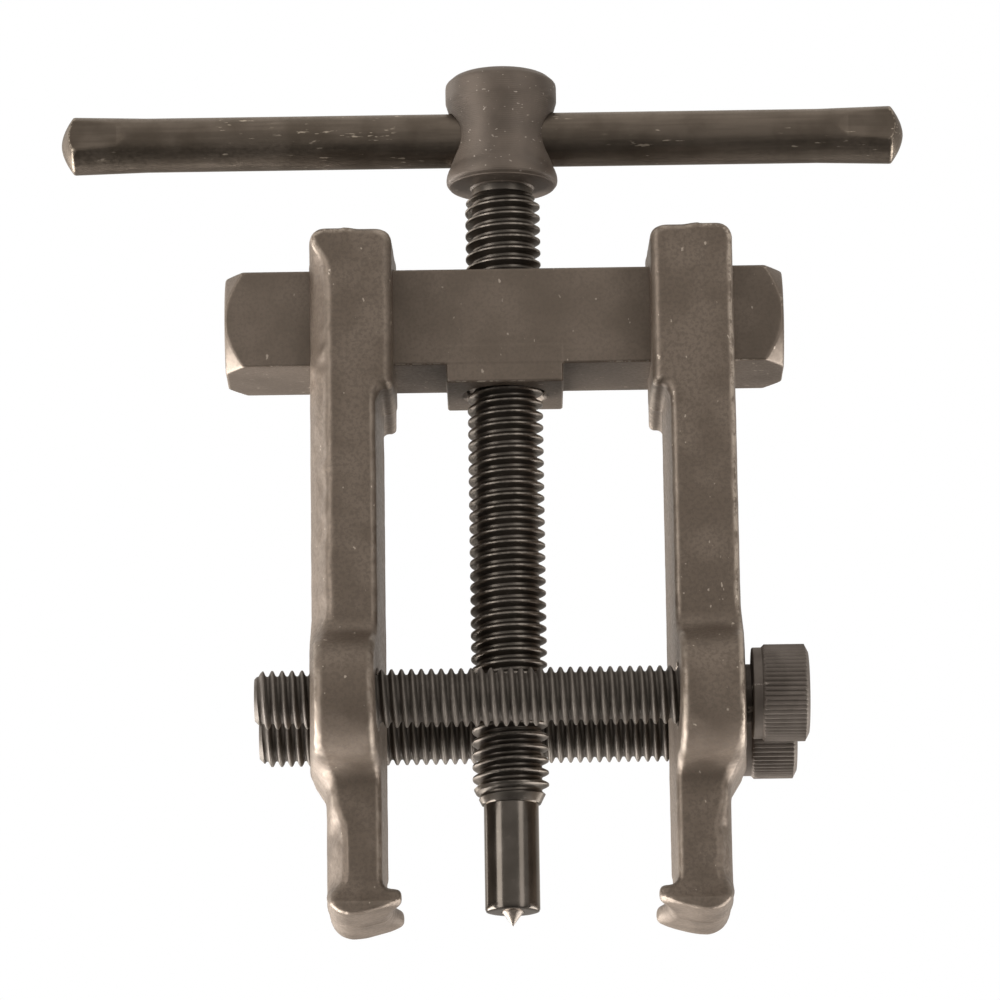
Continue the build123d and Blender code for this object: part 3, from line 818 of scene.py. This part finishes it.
def crossbar_steel():
    """Milled and blackened bar: an even dull face, thin rubbed corners and a few pale specks."""
    steel = Steel("milled_black_steel", metallic=0.6)
    grain = steel.noise(2800, 3, roughness=0.65)
    patches = steel.span(steel.noise(170, 3), 0.3, 0.7)
    base = steel.mix(patches, (0.086, 0.066, 0.050), (0.116, 0.090, 0.070))
    base = steel.mix(steel.span(grain, 0.42, 0.65, 0.0, 0.4), base, (0.072, 0.056, 0.043))
    worn_part = steel.span(steel.noise(150, 2, shift=1.7), 0.45, 0.6, 0.1, 1.0)
    rubbed = steel.math("MULTIPLY", steel.edges(0.16, 0.34), steel.span(grain, 0.42, 0.6))
    rubbed = steel.math("MULTIPLY", rubbed, worn_part)
    nicks = steel.span(steel.noise(1500, 2, stretch=(1, 1, 0.6), shift=3.1), 0.69, 0.74)
    worn = steel.math("MAXIMUM", rubbed, steel.math("MULTIPLY", nicks, 0.5))
    colour = steel.mix(worn, base, (0.40, 0.34, 0.28))
    roughness = steel.span(grain, 0.3, 0.7, 0.40, 0.50)
    steel.raise_by(grain, 6 * MICRON)
    return steel.finish(colour, roughness)


def screw_steel():
    """Oiled black forcing screw: glossy pilot and thread with paler crests, dull turned hub."""
    steel = Steel("oiled_black_steel")
    height = steel.height(2)
    hub = steel.span(height, HUB_BOTTOM * MM - 0.0002, HUB_BOTTOM * MM - 0.0001)
    steel.feed(steel.shader.inputs["Metallic"], steel.span(hub, 0.0, 1.0, 0.9, 0.5))
    pilot = steel.span(height, PILOT_LENGTH * MM + 0.0002, PILOT_LENGTH * MM - 0.0001)
    grain = steel.noise(2200, 3, roughness=0.6)
    patches = steel.noise(320, 3)
    oiled = steel.mix(steel.span(patches, 0.35, 0.65), (0.070, 0.060, 0.050), (0.092, 0.079, 0.067))
    dull = steel.mix(steel.span(patches, 0.3, 0.7), (0.066, 0.051, 0.040), (0.090, 0.070, 0.055))
    base = steel.mix(hub, oiled, dull)
    crests = steel.math("MULTIPLY", steel.edges(0.75, 1.0), steel.span(grain, 0.36, 0.6, 0.05, 0.3))
    flecks = steel.span(steel.noise(1900, 2, stretch=(1, 1, 1.8), shift=7.3), 0.69, 0.73)
    flecks = steel.math("MULTIPLY", flecks, steel.span(hub, 0.0, 1.0, 0.15, 0.55))
    worn = steel.math("MAXIMUM", crests, flecks)
    rim = steel.math("MULTIPLY", steel.points(0.57, 0.66), steel.span(grain, 0.46, 0.62))
    worn = steel.math("MAXIMUM", worn, steel.math("MULTIPLY", rim, steel.math("MULTIPLY", hub, 0.5)))
    colour = steel.mix(worn, base, (0.38, 0.33, 0.28))
    roughness = steel.span(patches, 0.3, 0.7, 0.33, 0.40)
    roughness = steel.math("ADD", roughness, steel.math("MULTIPLY", hub, 0.14))
    roughness = steel.math("ADD", roughness, steel.math("MULTIPLY", pilot, -0.18))
    ridges = 31416.0                         # a full wave every 0.2 mm of height
    turning = steel.math("SINE", steel.math("MULTIPLY", height, ridges))
    uneven = steel.noise(2600, 2, stretch=(0.25, 0.25, 1))
    grooves = steel.math("MULTIPLY", steel.math("MULTIPLY", turning, uneven), hub)
    steel.raise_by(grooves, 7 * MICRON)
    steel.raise_by(steel.noise(5200, 1, stretch=(0.02, 0.02, 1)), 2 * MICRON)
    steel.raise_by(grain, 3 * MICRON)
    return steel.finish(colour, roughness)


def tommy_steel():
    """Drawn black bar: dull skin, fine tan scratches in groups and thin bright edges on its ends."""
    steel = Steel("drawn_black_steel", metallic=0.9)
    drawn = steel.noise(1900, 2, stretch=(0.05, 1, 1))
    grain = steel.noise(2600, 3, roughness=0.65)
    patches = steel.span(steel.noise(240, 3), 0.35, 0.65)
    base = steel.mix(patches, (0.074, 0.058, 0.044), (0.104, 0.083, 0.065))
    base = steel.mix(steel.span(drawn, 0.38, 0.65, 0.0, 0.35), base, (0.052, 0.041, 0.031))
    rubbed = steel.math("MULTIPLY", steel.edges(0.13, 0.3), steel.span(grain, 0.42, 0.6, 0.0, 0.5))
    groups = steel.span(steel.noise(130, 1, shift=2.3), 0.53, 0.62)
    scratches = steel.span(steel.noise(2600, 3, stretch=(0.22, 1, 1), shift=5.2), 0.64, 0.70)
    scratches = steel.math("MULTIPLY", scratches, groups)
    worn = steel.math("MAXIMUM", rubbed, steel.math("MULTIPLY", scratches, 0.6))
    colour = steel.mix(worn, base, (0.44, 0.37, 0.29))
    roughness = steel.span(grain, 0.3, 0.7, 0.34, 0.44)
    steel.raise_by(drawn, 4 * MICRON)
    steel.raise_by(grain, 5 * MICRON)
    return steel.finish(colour, roughness)


def clamp_steel():
    """Black socket-head screws: worn thread crests, and heads a little paler and duller."""
    steel = Steel("screw_black_steel", metallic=0.7)
    head = steel.span(steel.height(0), 0.0236, 0.0239)    # just left of both heads
    grain = steel.noise(2600, 3, roughness=0.6)
    patches = steel.span(steel.noise(380, 3), 0.35, 0.65)
    thread = steel.mix(patches, (0.066, 0.056, 0.047), (0.088, 0.075, 0.064))
    skin = steel.mix(patches, (0.078, 0.064, 0.054), (0.104, 0.087, 0.074))
    base = steel.mix(head, thread, skin)
    crests = steel.math("MULTIPLY", steel.edges(0.8, 1.0), steel.span(grain, 0.34, 0.58, 0.04, 0.13))
    worn = steel.math("MULTIPLY", steel.points(0.56, 0.68), steel.span(grain, 0.44, 0.6, 0.0, 0.6))
    worn = steel.math("MAXIMUM", crests, steel.math("MULTIPLY", worn, head))
    colour = steel.mix(worn, base, (0.40, 0.35, 0.30))
    roughness = steel.span(grain, 0.3, 0.7, 0.54, 0.62)
    steel.raise_by(grain, 4 * MICRON)
    return steel.finish(colour, roughness)


def point_steel():
    """Hardened and ground centre, browned by heat."""
    steel = Steel("ground_point_steel")
    rings = steel.noise(6000, 1, stretch=(0.05, 0.05, 1))
    tone = steel.span(steel.noise(1800, 2), 0.35, 0.65)
    colour = steel.mix(tone, (0.11, 0.09, 0.074), (0.17, 0.14, 0.115))
    steel.raise_by(rings, 3 * MICRON)
    return steel.finish(colour, steel.span(rings, 0.3, 0.7, 0.3, 0.42))


# ---------------------------------------------------------------- stage, light and camera

CAMERA_RISE = 13.333          # the camera looks up at the object by this many degrees
CAMERA_ROLL = 0.837
CAMERA_DISTANCE = 609.03
CAMERA_AIM = (-0.695, 0.0, 43.0)
CAMERA_LENS = 212.58
LIGHT_AIM, LIGHT_DISTANCE = Vector((0, 0, 0.045)), 1.2


def make_camera():
    """The photo's view: from the front and below, rolled a little."""
    rise, roll = math.radians(CAMERA_RISE), math.radians(CAMERA_ROLL)
    right, up = Vector((1, 0, 0)), Vector((0, -math.sin(rise), math.cos(rise)))
    back = right.cross(up)
    across = math.cos(roll) * right - math.sin(roll) * up
    upright = math.sin(roll) * right + math.cos(roll) * up
    data = bpy.data.cameras.new("camera")
    data.sensor_width, data.lens = 36, CAMERA_LENS
    data.clip_start, data.clip_end = 0.01, 20
    camera = bpy.data.objects.new("camera", data)
    bpy.context.scene.collection.objects.link(camera)
    turn = Matrix((across, upright, back)).transposed().to_4x4()
    place = (Vector(CAMERA_AIM) + CAMERA_DISTANCE * back) * MM
    camera.matrix_world = Matrix.Translation(place) @ turn
    bpy.context.scene.camera = camera


def area_light(name, azimuth, elevation, width, height, power):
    """A soft box facing the object. Azimuth 0 is the camera's side and 90 the right."""
    data = bpy.data.lights.new(name, "AREA")
    data.shape, data.size, data.size_y, data.energy = "RECTANGLE", width, height, power
    light = bpy.data.objects.new(name, data)
    bpy.context.scene.collection.objects.link(light)
    a, e = math.radians(azimuth), math.radians(elevation)
    out = Vector((math.sin(a) * math.cos(e), -math.cos(a) * math.cos(e), math.sin(e)))
    light.location = LIGHT_AIM + LIGHT_DISTANCE * out
    light.rotation_mode = "QUATERNION"
    light.rotation_quaternion = out.to_track_quat("Z", "Y")


def make_world():
    """White walls and a brighter ceiling, dark towards the ground; plain white to the camera."""
    world = bpy.data.worlds.new("studio")
    world.use_nodes = True
    bpy.context.scene.world = world
    tree = world.node_tree
    tree.nodes.clear()

    def node(kind, **inputs):
        made = tree.nodes.new(kind)
        for key, value in inputs.items():
            socket = made.inputs[key.replace("_", " ")]
            if isinstance(value, bpy.types.NodeSocket):
                tree.links.new(value, socket)
            else:
                socket.default_value = value
        return made

    def span(value, low, high, start, end):
        made = node("ShaderNodeMapRange", Value=value)
        made.interpolation_type = "SMOOTHSTEP"
        for key, number in (("From Min", low), ("From Max", high), ("To Min", start), ("To Max", end)):
            socket = made.inputs[key]
            if isinstance(number, bpy.types.NodeSocket):
                tree.links.new(number, socket)
            else:
                socket.default_value = number
        return made.outputs[0]

    direction = node("ShaderNodeTexCoord").outputs["Generated"]
    parts = node("ShaderNodeSeparateXYZ", Vector=direction).outputs
    front = span(parts["Z"], -0.6, 0.12, 0.05, 0.75)
    below = span(parts["Z"], -1.0, -0.5, 0.05, 0.28)
    back = span(parts["Z"], -0.3, 0.3, below, 0.7)
    sky = span(parts["Z"], 0.4, 0.95, 0.0, 0.6)
    walls = span(parts["Y"], -0.55, 0.15, front, back)
    level = node("ShaderNodeMath", Value=walls)
    tree.links.new(sky, level.inputs[1])
    around = node("ShaderNodeBackground", Color=(1, 0.985, 0.965, 1), Strength=level.outputs[0])
    seen = node("ShaderNodeBackground", Color=(1, 1, 1, 1), Strength=1.0)
    is_camera = node("ShaderNodeLightPath").outputs["Is Camera Ray"]
    mixed = tree.nodes.new("ShaderNodeMixShader")
    tree.links.new(is_camera, mixed.inputs[0])
    tree.links.new(around.outputs[0], mixed.inputs[1])
    tree.links.new(seen.outputs[0], mixed.inputs[2])
    tree.links.new(mixed.outputs[0], node("ShaderNodeOutputWorld").inputs[0])


def make_floor():
    """A pale floor under the feet. It is clear from below, where the camera looks up through it."""
    half, height = 1.5, -0.0016
    corners = [(x * half, y * half, height) for x, y in ((-1, -1), (1, -1), (1, 1), (-1, 1))]
    mesh = bpy.data.meshes.new("floor")
    mesh.from_pydata(corners, [], [(0, 1, 2, 3)])
    floor = bpy.data.objects.new("floor", mesh)
    bpy.context.scene.collection.objects.link(floor)
    pale = Steel("pale_floor", metallic=0.0)
    pale.finish((0.86, 0.85, 0.83, 1), 0.7, (1, 1, 1))
    clear = pale.node("ShaderNodeBsdfTransparent").outputs[0]
    underside = pale.node("ShaderNodeNewGeometry").outputs["Backfacing"]
    either = pale.node("ShaderNodeMixShader", {0: underside, 1: pale.shader.outputs[0], 2: clear})
    output = pale.tree.nodes["Material Output"]
    pale.tree.links.new(either.outputs[0], output.inputs["Surface"])
    mesh.materials.append(pale.material)
    floor.visible_glossy = False
    floor.visible_shadow = False


def make_lights():
    """Low boxes that light the undersides from the sides, and tall ones for streaks on round parts."""
    area_light("left_low_box", -114, -36, 1.2, 1.2, 72)
    area_light("right_low_box", 112, -38, 1.2, 1.2, 38)
    area_light("left_back_box", -118, 10, 0.8, 1.2, 6)
    area_light("left_front_box", -56, 4, 0.5, 1.5, 11)
    area_light("right_front_box", 40, 4, 0.4, 1.5, 5)


# ---------------------------------------------------------------- assembly

def dress(piece, body, slot, material, *nodes):
    """Gives a piece its material, ties it to its CAD body and hides the CAD nodes it stands in for."""
    piece.data.materials.clear()
    piece.data.materials.append(material)
    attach(piece, body)
    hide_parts(*nodes)


make_camera()
right_arm, left_arm = make_arms()
front_bolt, rear_bolt = make_clamp_screws()
forged, clamp = forged_steel(), clamp_steel()
dress(make_crossbar(), "crossbar", "crossbar_steel", crossbar_steel(), "crossbar")
dress(make_spindle(), "spindle", "screw_steel", screw_steel(), "spindle")
dress(make_centre_point(), "centre_point", "hardened_point", point_steel(), "centre_point")
dress(make_tommy_bar(), "tommy_bar", "tommy_bar_steel", tommy_steel(), "tommy_bar")
dress(right_arm, "right_arm", "forged_steel", forged, "right_arm")
dress(left_arm, "left_arm", "forged_steel", forged, "left_arm")
dress(front_bolt, "front_bolt", "clamp_screw_steel", clamp, "front_bolt")
dress(rear_bolt, "rear_bolt", "clamp_screw_steel", clamp, "rear_bolt")

make_floor()
make_world()
make_lights()
bpy.context.scene.view_settings.view_transform = "Standard"
